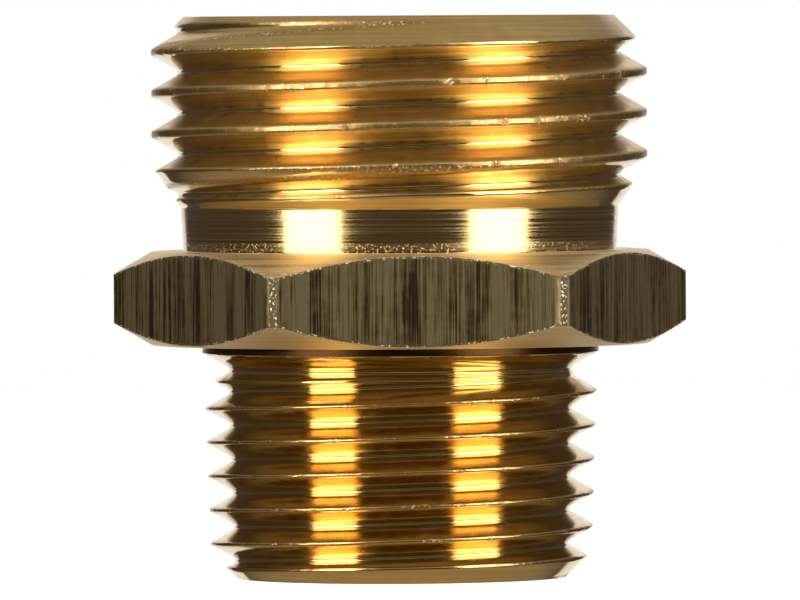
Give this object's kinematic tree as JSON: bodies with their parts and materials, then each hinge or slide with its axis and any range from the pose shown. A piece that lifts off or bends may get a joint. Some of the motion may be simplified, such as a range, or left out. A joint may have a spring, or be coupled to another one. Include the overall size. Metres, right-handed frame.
{
  "type": "hex nipple",
  "caption": "Reducing hex nipple: a straight male hose thread and a smaller taper male pipe thread either side of a wrench hexagon, with a waterway through it.",
  "frame": {"origin": "centre of the pipe thread's end face, at the bottom of the part", "axes": "+Z along the thread axis from the pipe end to the hose end, +Y and -Y square to two of the hexagon's flats, +X through one of its corners"},
  "size_m": [0.0308, 0.027, 0.0302],
  "materials": {
    "turned_brass": "as turned, with drawn bar left on the hexagon's flats"
  },
  "bodies": {
    "root": {"nipple_body": "turned_brass"}
  },
  "joints": []
}
